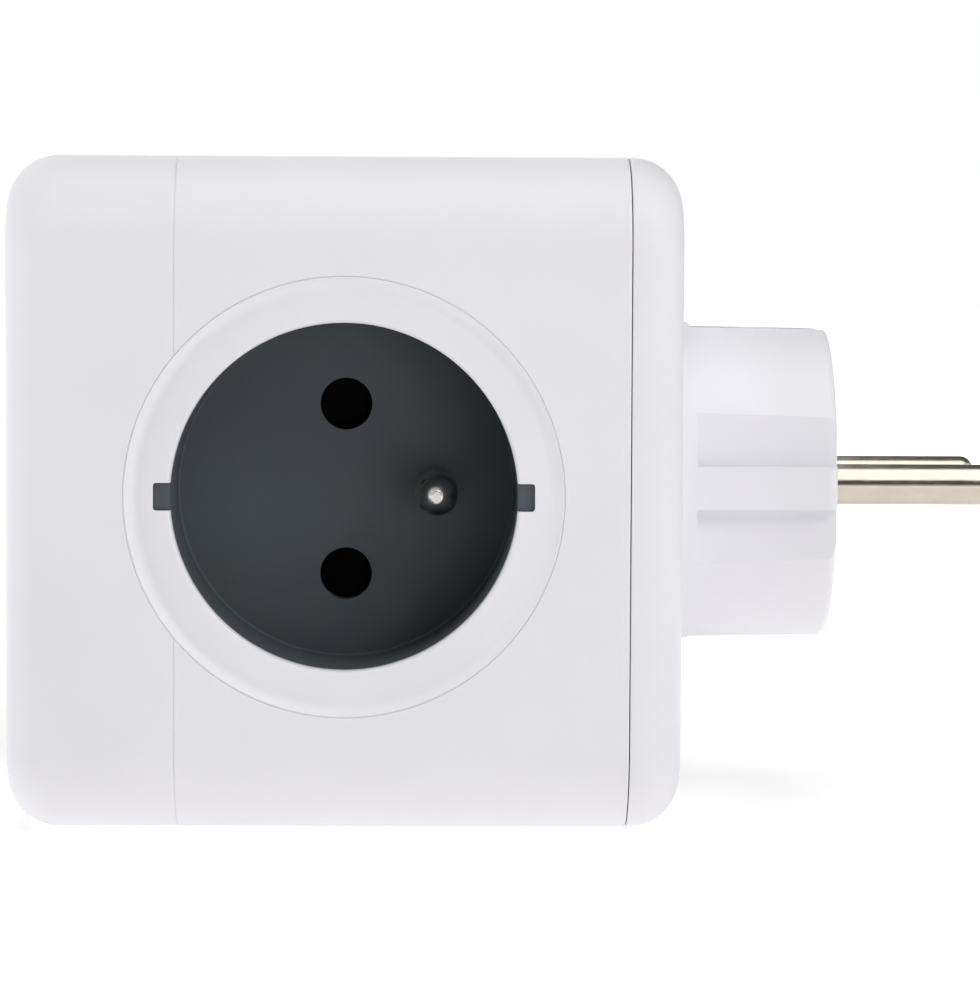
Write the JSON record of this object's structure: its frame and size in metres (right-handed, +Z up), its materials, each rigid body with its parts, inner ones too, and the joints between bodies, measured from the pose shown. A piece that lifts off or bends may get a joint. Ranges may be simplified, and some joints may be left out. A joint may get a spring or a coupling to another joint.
{
  "type": "cube multi socket",
  "caption": "White cube adaptor with a round earthed plug on one side and recessed, shuttered earthed outlets with standing earth pins on the other sides.",
  "frame": {"origin": "middle of the plug's front face, between the roots of its two pins", "axes": "+X out along the plug pins, +Z up when the cube lies on its flat side, +Y completes the frame"},
  "size_m": [0.1112, 0.0738, 0.0738],
  "materials": {
    "white_shell": "satin",
    "dark_socket": "satin",
    "plated_pins": "nickel plated",
    "rail_brass": "rolled",
    "core_plastic": "moulded",
    "shutter_black": "moulded",
    "spring_steel": "drawn wire",
    "screw_steel": "zinc plated"
  },
  "bodies": {
    "cube": {"end_cap": "white_shell", "body_shell": "white_shell", "plug_base": "white_shell", "plug_pin_live": "plated_pins", "plug_pin_neutral": "plated_pins", "carrier_upper": "core_plastic", "carrier_lower": "core_plastic", "live_rail": "rail_brass", "neutral_rail": "rail_brass", "earth_frame": "rail_brass", "earth_bridge": "plated_pins", "earth_sleeve": "plated_pins", "case_screws": "screw_steel", "front_bezel": "white_shell", "front_socket": "dark_socket", "front_earth_pin": "plated_pins", "front_shutter_spring": "spring_steel", "rear_bezel": "white_shell", "rear_socket": "dark_socket", "rear_earth_pin": "plated_pins", "rear_shutter_spring": "spring_steel", "top_bezel": "white_shell", "top_socket": "dark_socket", "top_earth_pin": "plated_pins", "top_shutter_spring": "spring_steel", "bottom_bezel": "white_shell", "bottom_socket": "dark_socket", "bottom_earth_pin": "plated_pins", "bottom_shutter_spring": "spring_steel", "end_bezel": "white_shell", "end_socket": "dark_socket", "end_earth_pin": "plated_pins", "end_shutter_spring": "spring_steel"},
    "front_shutter": {"front_shutter": "shutter_black"},
    "rear_shutter": {"rear_shutter": "shutter_black"},
    "top_shutter": {"top_shutter": "shutter_black"},
    "bottom_shutter": {"bottom_shutter": "shutter_black"},
    "end_shutter": {"end_shutter": "shutter_black"}
  },
  "joints": [
    {"name": "front_shutter_turn", "type": "hinge", "parent": "cube", "child": "front_shutter", "pos_m": [-0.05535, -0.01665, 0], "axis": [0, -1, 0], "range_deg": [0, 40], "stiffness_Nm_per_rad": 0.002, "springref_deg": -11.46, "deforming": ["front_shutter_spring"]},
    {"name": "rear_shutter_turn", "type": "hinge", "parent": "cube", "child": "rear_shutter", "pos_m": [-0.05535, 0.01665, 0], "axis": [0, 1, 0], "range_deg": [0, 40], "stiffness_Nm_per_rad": 0.002, "springref_deg": -11.46, "deforming": ["rear_shutter_spring"]},
    {"name": "top_shutter_turn", "type": "hinge", "parent": "cube", "child": "top_shutter", "pos_m": [-0.05535, 0, 0.01665], "axis": [0, 0, 1], "range_deg": [0, 40], "stiffness_Nm_per_rad": 0.002, "springref_deg": -11.46, "deforming": ["top_shutter_spring"]},
    {"name": "bottom_shutter_turn", "type": "hinge", "parent": "cube", "child": "bottom_shutter", "pos_m": [-0.05535, 0, -0.01665], "axis": [0, 0, -1], "range_deg": [0, 40], "stiffness_Nm_per_rad": 0.002, "springref_deg": -11.46, "deforming": ["bottom_shutter_spring"]},
    {"name": "end_shutter_turn", "type": "hinge", "parent": "cube", "child": "end_shutter", "pos_m": [-0.072, 0, 0], "axis": [-1, 0, 0], "range_deg": [0, 40], "stiffness_Nm_per_rad": 0.002, "springref_deg": -11.46, "deforming": ["end_shutter_spring"]}
  ]
}
